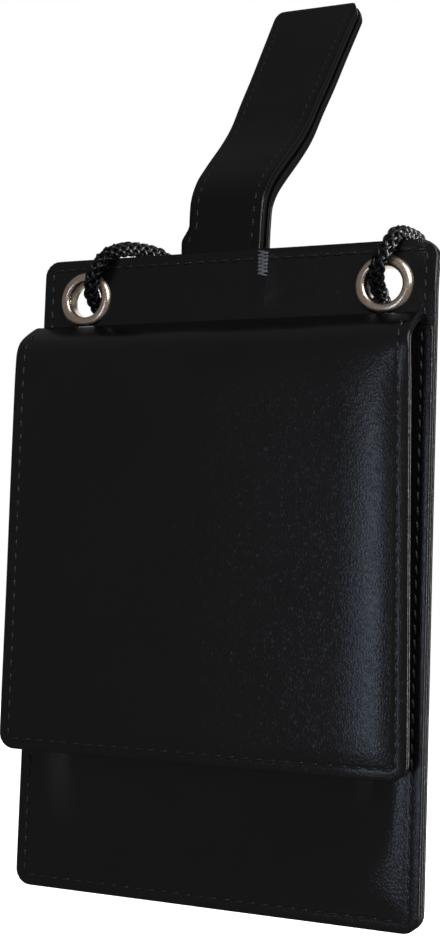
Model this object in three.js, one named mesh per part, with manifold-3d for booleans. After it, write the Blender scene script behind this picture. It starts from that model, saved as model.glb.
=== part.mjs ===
// Neck pouch in black leather: panel, pocket, flap, strap, eyelets and neck cord.
// Millimetres, +Z up, the front faces -Y. The origin lies on the panel's front face,
// midway between the centres of the two eyelets.
import * as THREE from 'three';
import { mergeVertices } from 'three/addons/utils/BufferGeometryUtils.js';
import Module from 'manifold-3d';

const wasm = await Module();
wasm.setup();

// Driving dimensions
const PANEL_W = 105;
const PANEL_H = 160;
const PANEL_T = 3.0;
const PANEL_CORNER = 4;
const EDGE_ROUND = 0.7;
const GAP = 0.3;

const EYELET_X = 40.6;
const EYELET_DROP = 10.2;
const EYELET_BORE_R = 4.5;
const EYELET_BARREL_R = 5.2;
const EYELET_FLANGE_R = 7.0;
const EYELET_CREST = 1.15;
const EYELET_SIDES = 32;

const TOP = EYELET_DROP;
const BOTTOM = EYELET_DROP - PANEL_H;
const HALF_W = PANEL_W / 2;

const POCKET_T = 1.8;
const POCKET_SEAT = 0.2;
const POCKET_SEAM = 6.5;
const POCKET_FLANK = 9;
const POCKET_TOP = -10.6;
const POCKET_MOUTH = -17;
const POCKET_MOUTH_HALF = 46.5;
const POCKET_RISE_TOP = 8.0;
const POCKET_RISE_LOW = 6.9;
const POCKET_FLANK_TOP = -118;

const FLAP_W = 104;
const FLAP_SHIFT = -0.45;
const FLAP_T = 2.4;
const FLAP_BOTTOM = -115.6;
const FLAP_CORNER = 4;

const STRAP_X = -2.06;
const STRAP_T = 2.6;
const STRAP_ROOT_W = 18.1;
const STRAP_END_W = 24.9;
const STRAP_GAP_ROOT = 1.6;
const STRAP_GAP = 1.2;
const STRAP_FLARE = 1.7;
const STRAP_FLARE_RISE = 6;
const STRAP_CORNER = 3.6;

const CORD_D = 3;
const CORD_SIDES = 8;
const KNOT_R = 4;

// The flap's outer face in side view, from its hinge on the panel to its lower edge
const FLAP_FACE = [
  { y: -GAP, z: -8.0 },
  { y: -1.7, z: -7.3 },
  { y: -3.6, z: -7.6 },
  { y: -6.2, z: -9.0 },
  { y: -9.0, z: -10.7 },
  { y: -11.4, z: -12.7 },
  { y: -12.6, z: -15.2 },
  { y: -12.9, z: -18.5 },
  { y: -12.8, z: -40 },
  { y: -12.2, z: -80 },
  { y: -11.7, z: FLAP_BOTTOM },
];

// The strap's front face in side view, heights above the panel's top edge
const STRAP_FACE = [
  { y: 0.3, rise: GAP },
  { y: 0.4, rise: 8 },
  { y: 1.3, rise: 14.5 },
  { y: 4.6, rise: 20 },
  { y: 10.8, rise: 26 },
  { y: 21.0, rise: 35 },
  { y: 27.4, rise: 41.5 },
  { y: 33.8, rise: 50 },
  { y: 41.6, rise: 60 },
  { y: 49.0, rise: 70 },
  { y: 61.0, rise: 86 },
];

// The strip's lower end behind the panel, its middle line: it stands off for the cord, then is sewn on
const STRAP_TAIL = [
  { y: 6.9, z: 5.5 },
  { y: 7.9, z: 0 },
  { y: 7.9, z: -5 },
  { y: 6.7, z: -9.5 },
  { y: 5.1, z: -13.5 },
  { y: 4.6, z: -17.5 },
  { y: 4.6, z: -24 },
];

// The neck cord's route: left knot and eyelet, over the top edge, down in a swag behind the panel,
// through the strap's tail, down in a second swag, over the top edge, right eyelet and knot
const CORD_ROUTE = [
  { x: -38.9, y: 7.9, z: -8.8 },
  { x: -38.9, y: 5.2, z: -3.3 },
  { x: -38.8, y: -0.3, z: 1.3 },
  { x: -37.9, y: -2.5, z: 3.8 },
  { x: -36.8, y: -3.2, z: 6.5 },
  { x: -35.3, y: -2.5, z: 9.4 },
  { x: -33.7, y: -0.4, z: 12.0 },
  { x: -29.9, y: 7.0, z: 14.3 },
  { x: -24.9, y: 15.4, z: 12.6 },
  { x: -22.2, y: 21.2, z: 5.0 },
  { x: -21.3, y: 23.4, z: -8.0 },
  { x: -20.8, y: 23.6, z: -116.0 },
  { x: -20.6, y: 23.2, z: -129.0 },
  { x: -20.1, y: 20.8, z: -135.8 },
  { x: -19.5, y: 14.4, z: -138.7 },
  { x: -18.9, y: 8.0, z: -135.8 },
  { x: -18.5, y: 5.6, z: -129.0 },
  { x: -18.3, y: 5.0, z: -116.0 },
  { x: -18.2, y: 4.9, z: -14.4 },
  { x: -15.3, y: 4.9, z: -7.3 },
  { x: -8.2, y: 4.9, z: -4.4 },
  { x: 4.2, y: 4.9, z: -4.4 },
  { x: 11.3, y: 4.9, z: -7.3 },
  { x: 14.2, y: 4.9, z: -14.4 },
  { x: 14.6, y: 6.0, z: -124.5 },
  { x: 19.4, y: 8.0, z: -136.2 },
  { x: 29.4, y: 12.8, z: -141.0 },
  { x: 39.4, y: 17.6, z: -136.2 },
  { x: 44.2, y: 19.6, z: -124.5 },
  { x: 45.1, y: 20.0, z: -8.0 },
  { x: 45.7, y: 19.0, z: 5.6 },
  { x: 45.4, y: 13.6, z: 12.0 },
  { x: 44.6, y: 6.6, z: 13.1 },
  { x: 43.5, y: -0.4, z: 11.9 },
  { x: 42.4, y: -2.6, z: 9.4 },
  { x: 40.9, y: -3.4, z: 6.6 },
  { x: 39.4, y: -2.4, z: 3.7 },
  { x: 38.6, y: -0.3, z: 1.3 },
  { x: 38.6, y: 5.2, z: -3.3 },
  { x: 38.6, y: 7.9, z: -8.8 },
];
const CORD_END_LENGTH = 44;
const CORD_END_STEPS = 14;
const CORD_SWAG_STEPS = 54;

const leather = () => new THREE.MeshStandardMaterial({ color: 0x0d0c0d, roughness: 0.48, metalness: 0 });
const strapLeather = () =>
  new THREE.MeshStandardMaterial({ color: 0x131011, roughness: 0.55, metalness: 0 });
const nickel = () => new THREE.MeshStandardMaterial({ color: 0xc9b9a2, roughness: 0.25, metalness: 1 });
const braid = () => new THREE.MeshStandardMaterial({ color: 0x0a0a0b, roughness: 0.7, metalness: 0 });

const smooth = (t) => {
  const c = THREE.MathUtils.clamp(t, 0, 1);
  return c * c * (3 - 2 * c);
};

// A closed mesh as a solid for cutting, and back again
function solid(geometry) {
  const bare = geometry.clone();
  bare.deleteAttribute('normal');
  bare.deleteAttribute('uv');
  const merged = mergeVertices(bare, 1e-4);
  return new wasm.Manifold(new wasm.Mesh({
    numProp: 3,
    vertProperties: new Float32Array(merged.attributes.position.array),
    triVerts: new Uint32Array(merged.index.array),
  }));
}

function geometryOf(manifold) {
  const mesh = manifold.getMesh();
  const geometry = new THREE.BufferGeometry();
  geometry.setAttribute('position', new THREE.BufferAttribute(new Float32Array(mesh.vertProperties), 3));
  geometry.setIndex(new THREE.BufferAttribute(new Uint32Array(mesh.triVerts), 1));
  geometry.computeVertexNormals();
  return geometry;
}

function piece(name, geometry, material) {
  const mesh = new THREE.Mesh(geometry, material);
  mesh.name = name;
  return mesh;
}

// A rectangle in the XZ plane with rounded corners
function roundedRect(left, right, low, high, radius) {
  const shape = new THREE.Shape();
  shape.moveTo(left + radius, low);
  shape.lineTo(right - radius, low);
  shape.absarc(right - radius, low + radius, radius, -Math.PI / 2, 0);
  shape.lineTo(right, high - radius);
  shape.absarc(right - radius, high - radius, radius, 0, Math.PI / 2);
  shape.lineTo(left + radius, high);
  shape.absarc(left + radius, high - radius, radius, Math.PI / 2, Math.PI);
  shape.lineTo(left, low + radius);
  shape.absarc(left + radius, low + radius, radius, Math.PI, 1.5 * Math.PI);
  return shape;
}

// A plate with the shape's outline, from front to front + thick along Y
function plate(shape, front, thick, round) {
  const geometry = new THREE.ExtrudeGeometry(shape, {
    depth: thick - 2 * round,
    bevelEnabled: round > 0,
    bevelThickness: round,
    bevelSize: round,
    bevelOffset: -round,
    bevelSegments: 2,
    curveSegments: 6,
    steps: 1,
  });
  geometry.rotateX(Math.PI / 2);
  geometry.translate(0, front + thick - round, 0);
  return geometry;
}

// A strip of leather along stations, each a rectangle across X with its own width
function ribbon(stations) {
  const positions = [];
  const index = [];
  for (const s of stations) {
    for (const [across, through] of [[-1, -1], [1, -1], [1, 1], [-1, 1]]) {
      const half = through * s.thick / 2;
      positions.push(s.x + across * s.width / 2, s.y + half * s.ny, s.z + half * s.nz);
    }
  }
  const last = 4 * (stations.length - 1);
  for (let i = 0; i < last; i += 4) {
    for (let k = 0; k < 4; k += 1) {
      const a = i + k;
      const b = i + (k + 1) % 4;
      index.push(a, b, b + 4, a, b + 4, a + 4);
    }
  }
  index.push(0, 2, 1, 0, 3, 2);
  index.push(last, last + 1, last + 2, last, last + 2, last + 3);
  const geometry = new THREE.BufferGeometry();
  geometry.setAttribute('position', new THREE.BufferAttribute(new Float32Array(positions), 3));
  geometry.setIndex(index);
  geometry.computeVertexNormals();
  return geometry;
}

// Points along a side-view line with the unit normal that points to its back
function sideView(line, count) {
  const points = line.map((p) => new THREE.Vector3(0, p.y, p.z));
  const curve = new THREE.CatmullRomCurve3(points, false, 'centripetal');
  curve.arcLengthDivisions = 600;
  return Array.from({ length: count + 1 }, (_, i) => {
    const at = curve.getPointAt(i / count);
    const along = curve.getTangentAt(i / count);
    return { y: at.y, z: at.z, ty: along.y, tz: along.z, share: i / count };
  });
}

function backPanel() {
  const outline = roundedRect(-HALF_W, HALF_W, BOTTOM, TOP, PANEL_CORNER);
  const holeR = EYELET_BARREL_R + GAP + EDGE_ROUND / 2;
  const blank = solid(plate(outline, 0, PANEL_T, EDGE_ROUND));
  const drill = new THREE.CylinderGeometry(holeR, holeR, 4 * PANEL_T, EYELET_SIDES);
  const holes = [-1, 1].map((side) => solid(drill.clone().translate(side * EYELET_X, 0, 0)));
  return piece('back_panel', geometryOf(blank.subtract(holes[0]).subtract(holes[1])), leather());
}

// How far the pocket's front stands forward of its sewn margin
function pocketRise(x, z) {
  const side = smooth((HALF_W - POCKET_SEAM - Math.abs(x)) / POCKET_FLANK);
  const low = BOTTOM + POCKET_SEAM;
  const foot = smooth((z - low) / (POCKET_FLANK_TOP - low));
  const down = THREE.MathUtils.clamp((POCKET_MOUTH - z) / (POCKET_MOUTH - POCKET_FLANK_TOP), 0, 1);
  return side * foot * THREE.MathUtils.lerp(POCKET_RISE_TOP, POCKET_RISE_LOW, down);
}

// Grid lines: closer together on the flanks than on the flat middle
function gridLines(stops) {
  const lines = [stops[0].at];
  for (let i = 1; i < stops.length; i += 1) {
    const from = stops[i - 1].at;
    for (let k = 1; k <= stops[i].steps; k += 1) {
      lines.push(THREE.MathUtils.lerp(from, stops[i].at, k / stops[i].steps));
    }
  }
  return lines;
}

function frontPocket() {
  const seam = HALF_W - POCKET_SEAM;
  const flat = seam - POCKET_FLANK;
  const xs = gridLines([
    { at: -HALF_W, steps: 0 },
    { at: -seam, steps: 1 },
    { at: -flat, steps: 6 },
    { at: flat, steps: 4 },
    { at: seam, steps: 6 },
    { at: HALF_W, steps: 1 },
  ]);
  const zs = gridLines([
    { at: BOTTOM, steps: 0 },
    { at: BOTTOM + POCKET_SEAM, steps: 1 },
    { at: POCKET_FLANK_TOP, steps: 9 },
    { at: POCKET_MOUTH, steps: 3 },
    { at: POCKET_TOP, steps: 1 },
  ]);
  const positions = [];
  for (const face of [0, 1]) {
    const seat = -POCKET_SEAT - (1 - face) * POCKET_T;
    for (const z of zs) {
      for (const x of xs) {
        positions.push(x, seat - pocketRise(x, z), z);
      }
    }
  }
  const columns = xs.length;
  const layer = columns * zs.length;
  const index = [];
  for (let j = 0; j + 1 < zs.length; j += 1) {
    for (let i = 0; i + 1 < columns; i += 1) {
      const a = j * columns + i;
      const up = a + columns;
      index.push(a, a + 1, up + 1, a, up + 1, up);
      index.push(a + layer, up + 1 + layer, a + 1 + layer, a + layer, up + layer, up + 1 + layer);
    }
  }
  const rim = [];
  for (let i = 0; i < columns; i += 1) rim.push(i);
  for (let j = 1; j < zs.length; j += 1) rim.push((j + 1) * columns - 1);
  for (let i = columns - 2; i >= 0; i -= 1) rim.push((zs.length - 1) * columns + i);
  for (let j = zs.length - 2; j > 0; j -= 1) rim.push(j * columns);
  rim.forEach((a, k) => {
    const b = rim[(k + 1) % rim.length];
    index.push(a, a + layer, b + layer, a, b + layer, b);
  });
  const sheet = new THREE.BufferGeometry();
  sheet.setAttribute('position', new THREE.BufferAttribute(new Float32Array(positions), 3));
  sheet.setIndex(index);
  const reach = 2 * POCKET_RISE_TOP;
  const outline = roundedRect(-HALF_W, HALF_W, BOTTOM, TOP, PANEL_CORNER);
  const mouth = new THREE.BoxGeometry(2 * POCKET_MOUTH_HALF, 2 * reach, TOP - POCKET_MOUTH);
  mouth.translate(0, -reach / 2, (TOP + POCKET_MOUTH) / 2);
  const cut = solid(sheet).intersect(solid(plate(outline, -reach, reach, 0))).subtract(solid(mouth));
  return piece('front_pocket', geometryOf(cut), leather());
}

function flap() {
  const stations = sideView(FLAP_FACE, 30).map((p) => ({
    x: FLAP_SHIFT,
    y: p.y + FLAP_T / 2 * -p.tz,
    z: p.z + FLAP_T / 2 * p.ty,
    ny: -p.tz,
    nz: p.ty,
    thick: FLAP_T,
    width: FLAP_W,
  })).reverse();
  const reach = 30;
  const left = FLAP_SHIFT - FLAP_W / 2;
  const outline = roundedRect(left, left + FLAP_W, FLAP_BOTTOM, TOP, FLAP_CORNER);
  const front = solid(plate(outline, -reach, reach - GAP, 0));
  return piece('flap', geometryOf(solid(ribbon(stations)).intersect(front)), leather());
}

// One strip: up the front ply, round the fold at the top, down the back ply to its tail
function strap() {
  const face = sideView(STRAP_FACE.map((p) => ({ y: p.y, z: TOP + p.rise })), 24);
  const gapAt = (share) => THREE.MathUtils.lerp(STRAP_GAP_ROOT, STRAP_GAP, smooth(share / 0.25));
  const widthAt = (share) => THREE.MathUtils.lerp(STRAP_ROOT_W, STRAP_END_W, share);
  const station = (p, depth, turned) => ({
    x: STRAP_X,
    y: p.y + depth * p.tz,
    z: p.z - depth * p.ty,
    ny: turned * p.tz,
    nz: turned * -p.ty,
    thick: STRAP_T,
    width: widthAt(p.share),
  });
  const front = face.map((p) => {
    const flare = STRAP_FLARE * (1 - smooth((p.z - TOP) / STRAP_FLARE_RISE));
    const s = station(p, STRAP_T / 2, 1);
    return { ...s, x: s.x - flare / 2, width: s.width + flare };
  });
  const back = face.map((p) => station(p, 1.5 * STRAP_T + gapAt(p.share), -1)).reverse();
  const end = face[face.length - 1];
  const radius = (STRAP_T + STRAP_GAP) / 2;
  const middle = STRAP_T + STRAP_GAP / 2;
  // What a rounded corner takes off each side, at a run from the fold's crest
  const trimAt = (run) =>
    STRAP_CORNER - Math.sqrt(STRAP_CORNER ** 2 - Math.max(STRAP_CORNER - run, 0) ** 2);
  const fold = [1, 2, 3, 4, 5].map((k) => {
    const turn = Math.PI * k / 6;
    const inward = Math.cos(turn);
    const out = Math.sin(turn);
    return {
      x: STRAP_X,
      y: end.y + (middle - radius * inward) * end.tz + radius * out * end.ty,
      z: end.z - (middle - radius * inward) * end.ty + radius * out * end.tz,
      ny: inward * end.tz - out * end.ty,
      nz: -inward * end.ty - out * end.tz,
      thick: STRAP_T,
      width: STRAP_END_W - 2 * trimAt(radius * Math.abs(turn - Math.PI / 2)),
    };
  });
  const root = back[back.length - 1];
  const tail = sideView([root, ...STRAP_TAIL], 12).slice(1).map((p) => ({
    ...station(p, 0, 1),
    width: root.width,
  }));
  return piece('strap', ribbon([...front, ...fold, ...back, ...tail]), strapLeather());
}

// A ring turned about Y: a domed flange in front, a barrel, and a rolled rim behind
function eyelet(name, side) {
  const seat = GAP / 2;
  const back = PANEL_T + seat;
  const rimR = EYELET_FLANGE_R - 0.8;
  const profile = [
    [EYELET_BORE_R, -0.5],
    [EYELET_BORE_R + 0.5, -EYELET_CREST + 0.15],
    [(EYELET_BORE_R + EYELET_FLANGE_R) / 2, -EYELET_CREST],
    [EYELET_FLANGE_R - 0.4, -0.8],
    [EYELET_FLANGE_R, -seat],
    [EYELET_BARREL_R, -seat],
    [EYELET_BARREL_R, back],
    [rimR, back],
    [rimR - 0.3, back + 0.5],
    [EYELET_BORE_R + 0.7, back + 0.8],
    [EYELET_BORE_R, back + 0.4],
    [EYELET_BORE_R, -0.5],
  ].map(([r, y]) => new THREE.Vector2(r, y));
  const mesh = piece(name, new THREE.LatheGeometry(profile, EYELET_SIDES), nickel());
  mesh.position.set(side * EYELET_X, 0, 0);
  return mesh;
}

// A stretch of the cord's curve between two lengths along it, stepped evenly between the route's
// points, so that its bends get more steps than its straight runs
class Stretch extends THREE.Curve {
  constructor(curve, from, to) {
    super();
    this.curve = curve;
    this.from = curve.getUtoTmapping(0, from);
    this.to = curve.getUtoTmapping(0, to);
  }

  getUtoTmapping(share) {
    return share;
  }

  getPoint(t, target = new THREE.Vector3()) {
    return this.curve.getPoint(THREE.MathUtils.lerp(this.from, this.to, t), target);
  }
}

function cordTube(name, curve, from, to, steps) {
  const section = new THREE.Shape(Array.from({ length: CORD_SIDES }, (_, k) => {
    const turn = 2 * Math.PI * k / CORD_SIDES;
    return new THREE.Vector2(CORD_D / 2 * Math.cos(turn), CORD_D / 2 * Math.sin(turn));
  }));
  const extrudePath = new Stretch(curve, from, to);
  return piece(name, new THREE.ExtrudeGeometry(section, { steps, extrudePath }), braid());
}

// A stopper knot just below the cord's end, with the cord's end face on its crown
function knot(name, end) {
  const mesh = piece(name, new THREE.SphereGeometry(KNOT_R, 14, 10), braid());
  mesh.position.set(end.x, end.y + 2 * GAP, end.z - KNOT_R - GAP);
  return mesh;
}

function cord() {
  const points = CORD_ROUTE.map((p) => new THREE.Vector3(p.x, p.y, p.z));
  const curve = new THREE.CatmullRomCurve3(points, false, 'centripetal');
  curve.arcLengthDivisions = 2000;
  const length = curve.getLength();
  const near = CORD_END_LENGTH;
  return [
    cordTube('cord_left', curve, 0, near, CORD_END_STEPS),
    cordTube('cord_swags', curve, near + GAP, length - near - GAP, CORD_SWAG_STEPS),
    cordTube('cord_right', curve, length - near, length, CORD_END_STEPS),
    knot('cord_knot_left', points[0]),
    knot('cord_knot_right', points[points.length - 1]),
  ];
}

const pouch = new THREE.Group();
pouch.add(
  backPanel(),
  frontPocket(),
  flap(),
  strap(),
  eyelet('eyelet_left', -1),
  eyelet('eyelet_right', 1),
  ...cord(),
);

export default pouch;
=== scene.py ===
# %% [markdown]
# # A leather neck pouch
# The pouch is a flat leather back with a pocket sewn on its front, a flap folded over the pocket, a doubled
# strap that leans back from the top edge, and a braided cord that runs through two metal eyelets.
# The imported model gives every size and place. It is loaded first and stays as it is: each new piece is laid
# where its solid lies, in metres, with +Z up and the front facing -Y.

# %% Load the frame
import math
import random

import bmesh
import bpy
import numpy as np
from mathutils import Matrix, Vector, noise


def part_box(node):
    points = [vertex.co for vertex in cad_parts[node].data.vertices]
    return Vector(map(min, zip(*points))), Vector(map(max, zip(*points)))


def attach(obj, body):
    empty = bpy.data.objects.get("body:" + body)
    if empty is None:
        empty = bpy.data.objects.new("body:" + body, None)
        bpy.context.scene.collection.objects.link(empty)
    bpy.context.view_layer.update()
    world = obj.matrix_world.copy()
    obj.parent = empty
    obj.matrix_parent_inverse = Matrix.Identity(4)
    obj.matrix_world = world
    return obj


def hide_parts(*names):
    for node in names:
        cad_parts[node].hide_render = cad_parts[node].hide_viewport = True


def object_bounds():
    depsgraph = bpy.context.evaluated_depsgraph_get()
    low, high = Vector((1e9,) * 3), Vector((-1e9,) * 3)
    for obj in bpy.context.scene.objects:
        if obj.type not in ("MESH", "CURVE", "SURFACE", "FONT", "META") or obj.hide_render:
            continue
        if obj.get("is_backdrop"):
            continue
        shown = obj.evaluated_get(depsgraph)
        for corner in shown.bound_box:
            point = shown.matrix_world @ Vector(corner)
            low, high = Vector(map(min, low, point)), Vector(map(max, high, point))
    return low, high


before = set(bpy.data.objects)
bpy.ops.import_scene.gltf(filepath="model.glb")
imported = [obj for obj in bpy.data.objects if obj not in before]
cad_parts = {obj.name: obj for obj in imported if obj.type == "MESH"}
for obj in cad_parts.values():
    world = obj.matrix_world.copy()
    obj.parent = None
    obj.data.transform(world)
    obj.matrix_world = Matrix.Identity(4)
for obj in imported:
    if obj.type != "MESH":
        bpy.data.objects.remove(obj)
CAD_LOW, CAD_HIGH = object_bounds()
BODY = "root"
MM = 0.001
random.seed(11)
print("nodes:", ", ".join(sorted(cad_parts)))

# %% [markdown]
# ## The camera
# The picture was taken from close by, a little to the pouch's right and slightly below its middle, so the
# near edge looks much taller than the far one. The focal length is in pixels of the picture, and the sensor
# covers its long side. Turning about Z, tipping about X and rolling about the view line places the camera.

# %% Camera
IMAGE_H = 936
FOCAL_PX = 1480
SENSOR = 36
CAMERA_AT = (0.1483, -0.3343, -0.0721)
CAMERA_TURN, CAMERA_TIP, CAMERA_ROLL = (math.radians(a) for a in (24.033, 4.39, 1.962))

camera = bpy.data.objects.new("camera", bpy.data.cameras.new("camera"))
bpy.context.collection.objects.link(camera)
camera.data.sensor_width = SENSOR
camera.data.lens = FOCAL_PX * SENSOR / IMAGE_H
camera.data.clip_start = 0.01
camera.matrix_world = (
    Matrix.Translation(CAMERA_AT)
    @ Matrix.Rotation(CAMERA_TURN, 4, "Z")
    @ Matrix.Rotation(math.pi / 2 + CAMERA_TIP, 4, "X")
    @ Matrix.Rotation(CAMERA_ROLL, 4, "Z")
)
bpy.context.scene.camera = camera
print(f"lens {camera.data.lens:.1f} mm")

# %% [markdown]
# ## Node helpers
# A material is a small graph of nodes. One helper adds a node, sets its options and wires its inputs, so a
# finish reads as a list of what goes into what. Another starts a material with its main shader.

# %% Node helpers
def add(tree, kind, inputs=None, **options):
    """Adds a node to a tree. An input is a value, or the output that feeds it."""
    made = tree.nodes.new(kind)
    for key, value in options.items():
        setattr(made, key, value)
    for key, value in (inputs or {}).items():
        if isinstance(value, bpy.types.NodeSocket):
            tree.links.new(value, made.inputs[key])
        else:
            made.inputs[key].default_value = value
    return made


def effect(name, sockets):
    """A shader node group with named inputs (with a default) and outputs, ready to be filled."""
    group = bpy.data.node_groups.new(name, "ShaderNodeTree")
    for label, way, kind, default in sockets:
        socket = group.interface.new_socket(label, in_out=way, socket_type=kind)
        if default is not None:
            socket.default_value = default
    return group, group.nodes.new("NodeGroupInput"), group.nodes.new("NodeGroupOutput")


def finish_material(name):
    """A material with an empty Principled shader wired to its output."""
    material = bpy.data.materials.new(name)
    material.use_nodes = True
    tree = material.node_tree
    return material, tree, tree.nodes["Principled BSDF"]


def place(tree, group, **values):
    """Puts an effect in a material with its own values."""
    made = add(tree, "ShaderNodeGroup", node_tree=group)
    for key, value in values.items():
        made.inputs[key].default_value = value
    return made


# %% [markdown]
# ## The braid finish
# The cord is spun from a dull black yarn. Each strand of the braid is real geometry further on, so its finish
# only adds the yarn's fine fibres: stretched noise for the bump and a slight change of tone along it.

# %% Yarn material for the cord
yarn, tree, shader = finish_material("braided_yarn")
coords = add(tree, "ShaderNodeTexCoord").outputs["Object"]
fibre = add(tree, "ShaderNodeTexNoise", {"Vector": coords, "Scale": 4200, "Detail": 2}).outputs["Fac"]
patch = add(tree, "ShaderNodeTexNoise", {"Vector": coords, "Scale": 240, "Detail": 2}).outputs["Fac"]
tone = add(tree, "ShaderNodeValToRGB", {"Fac": patch})
tone.color_ramp.elements[0].color = (0.003, 0.003, 0.0034, 1)
tone.color_ramp.elements[1].color = (0.009, 0.009, 0.01, 1)
bump = add(tree, "ShaderNodeBump", {"Height": fibre, "Strength": 0.35, "Distance": 0.0001})
tree.links.new(tone.outputs["Color"], shader.inputs["Base Color"])
tree.links.new(bump.outputs["Normal"], shader.inputs["Normal"])
shader.inputs["Roughness"].default_value = 0.3
shader.inputs["Specular IOR Level"].default_value = 0.3
print("made", yarn.name)

# %% [markdown]
# ## The cord's line
# One cord runs from a knot behind the left eyelet, up through the hole and over the top edge, down behind
# the panel in a swag, through the strap's tail, down in a second swag, and back to the right eyelet. Its
# points are those of the solid cord. A curve through them, sampled at an even step, is the line to braid on.

# %% Cord line
CORD_ROUTE = [
    (-0.0389, 0.0079, -0.0088), (-0.0389, 0.0052, -0.0033), (-0.0388, -0.0003, 0.0013),
    (-0.0379, -0.0025, 0.0038), (-0.0368, -0.0032, 0.0065), (-0.0353, -0.0025, 0.0094),
    (-0.0337, -0.0004, 0.0120), (-0.0299, 0.0070, 0.0143), (-0.0249, 0.0154, 0.0126),
    (-0.0222, 0.0212, 0.0050), (-0.0213, 0.0234, -0.0080), (-0.0208, 0.0236, -0.1160),
    (-0.0206, 0.0232, -0.1290), (-0.0201, 0.0208, -0.1358), (-0.0195, 0.0144, -0.1387),
    (-0.0189, 0.0080, -0.1358), (-0.0185, 0.0056, -0.1290), (-0.0183, 0.0050, -0.1160),
    (-0.0182, 0.0049, -0.0144), (-0.0153, 0.0049, -0.0073), (-0.0082, 0.0049, -0.0044),
    (0.0042, 0.0049, -0.0044), (0.0113, 0.0049, -0.0073), (0.0142, 0.0049, -0.0144),
    (0.0146, 0.0060, -0.1245), (0.0194, 0.0080, -0.1362), (0.0294, 0.0128, -0.1410),
    (0.0394, 0.0176, -0.1362), (0.0442, 0.0196, -0.1245), (0.0451, 0.0200, -0.0080),
    (0.0457, 0.0190, 0.0056), (0.0454, 0.0136, 0.0120), (0.0446, 0.0066, 0.0131),
    (0.0435, -0.0004, 0.0119), (0.0424, -0.0026, 0.0094), (0.0409, -0.0034, 0.0066),
    (0.0394, -0.0024, 0.0037), (0.0386, -0.0003, 0.0013), (0.0386, 0.0052, -0.0033),
    (0.0386, 0.0079, -0.0088),
]


def smooth_line(points, step):
    """A centripetal Catmull-Rom curve through the points, sampled at an even step."""
    p = np.array(points, float)
    p = np.vstack([2 * p[0] - p[1], p, 2 * p[-1] - p[-2]])
    t = np.linspace(0, 1, 32, endpoint=False)[:, None]
    spans = []
    for a, b, c, d in zip(p, p[1:], p[2:], p[3:]):
        before, here, after = (math.sqrt(np.linalg.norm(q)) for q in (b - a, c - b, d - c))
        leave = here * ((b - a) / before - (c - a) / (before + here) + (c - b) / here)
        arrive = here * ((c - b) / here - (d - b) / (here + after) + (d - c) / after)
        spans.append(
            (2 * t**3 - 3 * t**2 + 1) * b + (t**3 - 2 * t**2 + t) * leave
            + (3 * t**2 - 2 * t**3) * c + (t**3 - t**2) * arrive
        )
    fine = np.vstack(spans + [p[-2]])
    run = np.concatenate([[0], np.cumsum(np.linalg.norm(np.diff(fine, axis=0), axis=1))])
    at = np.linspace(0, run[-1], round(run[-1] / step) + 1)
    return np.column_stack([np.interp(at, run, column) for column in fine.T])


def length_of(line):
    return float(np.linalg.norm(np.diff(line, axis=0), axis=1).sum())


BRAID_STEP = 0.36 * MM
cord_line = smooth_line(CORD_ROUTE, BRAID_STEP)

# %% [markdown]
# ## Braiding
# A round braid has as many strands winding one way as the other, and each passes over one strand and under
# the next. A strand is a curve at a small distance from the cord's line that turns as it goes, and the
# distance swings out and in once per pair of crossings. A curve's bevel makes each one a tube, and a plain
# core fills the middle.

# %% Braid
STRANDS_EACH_WAY = 4
STRAND_R = 0.63 * MM
BRAID_R = 1.32 * MM
BRAID_SWING = 0.23 * MM
BRAID_PITCH = 10 * MM


def spline_on(curve, points, size=1.0):
    """Adds one open run of points to a curve."""
    spline = curve.splines.new("POLY")
    spline.points.add(len(points) - 1)
    spline.points.foreach_set("co", np.column_stack([points, np.ones(len(points))]).ravel())
    spline.points.foreach_set("radius", np.full(len(points), size))


def braid_on(curve, line):
    """Adds the strands and the core of a braid along a line of even steps."""
    along = np.gradient(line, axis=0)
    along /= np.linalg.norm(along, axis=1)[:, None]
    side = np.empty_like(line)
    side[0] = np.cross(along[0], (0.3, 0.5, 0.8))
    for i, t in enumerate(along):
        carried = side[max(i - 1, 0)]
        carried = carried - carried.dot(t) * t
        side[i] = carried / np.linalg.norm(carried)
    across = np.cross(along, side)
    turn = 2 * math.pi * np.arange(len(line)) * BRAID_STEP / BRAID_PITCH
    swing = BRAID_SWING * np.cos(STRANDS_EACH_WAY * turn)
    for way in (1, -1):
        out = (BRAID_R + way * swing)[:, None]
        for k in range(STRANDS_EACH_WAY):
            angle = (way * turn + 2 * math.pi * k / STRANDS_EACH_WAY)[:, None]
            spline_on(curve, line + out * (np.cos(angle) * side + np.sin(angle) * across))
    spline_on(curve, line[::6], BRAID_R / STRAND_R)


def braided(name, *lines):
    """One mesh of all the strands along the lines."""
    curve = bpy.data.curves.new(name, "CURVE")
    curve.dimensions = "3D"
    curve.bevel_depth = STRAND_R
    curve.bevel_resolution = 0
    curve.use_fill_caps = True
    for line in lines:
        braid_on(curve, line)
    spun = bpy.data.objects.new(name, curve)
    bpy.context.collection.objects.link(spun)
    seen = spun.evaluated_get(bpy.context.evaluated_depsgraph_get())
    mesh = bpy.data.meshes.new_from_object(seen)
    bpy.data.objects.remove(spun)
    return mesh


def keep(name, mesh, material, nodes=()):
    """Makes a finished piece: it rides on the pouch and stands for the nodes that it replaces."""
    mesh.name = name
    mesh.materials.clear()
    mesh.materials.append(material)
    mesh.polygons.foreach_set("use_smooth", [True] * len(mesh.polygons))
    piece = bpy.data.objects.new(name, mesh)
    bpy.context.collection.objects.link(piece)
    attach(piece, BODY)
    if nodes:
        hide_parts(*nodes)
    print(f"{name}: {len(mesh.polygons)} faces")
    return piece


neck_cord = keep(
    "neck_cord", braided("neck_cord", cord_line), yarn, ("cord_left", "cord_swags", "cord_right")
)

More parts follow.
